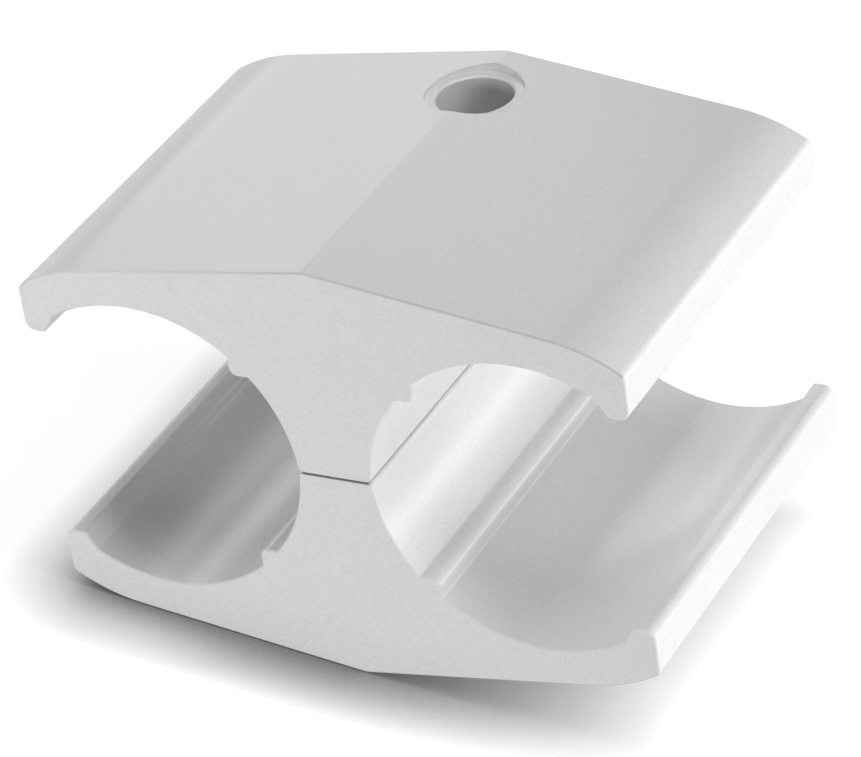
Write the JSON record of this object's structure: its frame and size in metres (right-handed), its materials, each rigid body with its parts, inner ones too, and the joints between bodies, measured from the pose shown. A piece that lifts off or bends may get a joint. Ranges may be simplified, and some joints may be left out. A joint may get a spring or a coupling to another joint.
{
  "type": "double jaw tube clamp",
  "caption": "White plastic tube clamp: equal ridged jaws with paired half-round channels, beads and turned-in lips, drawn together on parallel tubes by a bolt in a recessed hole.",
  "frame": {"origin": "on the axis of the bolt hole, in the plane where the two jaws meet", "axes": "+Z along the bolt hole towards the upper jaw, +Y along the tubes from the far end to the end near the bolt hole, +X across the two tubes"},
  "size_m": [0.1256, 0.0872, 0.0886],
  "materials": {
    "jaw_plastic": "satin white"
  },
  "bodies": {
    "lower_jaw": {"lower_jaw": "jaw_plastic"},
    "upper_jaw": {"upper_jaw": "jaw_plastic"}
  },
  "joints": [
    {"name": "jaw_opening", "type": "slide", "parent": "lower_jaw", "child": "upper_jaw", "axis": [0, 0, 1], "range_m": [0, 0.016]}
  ]
}
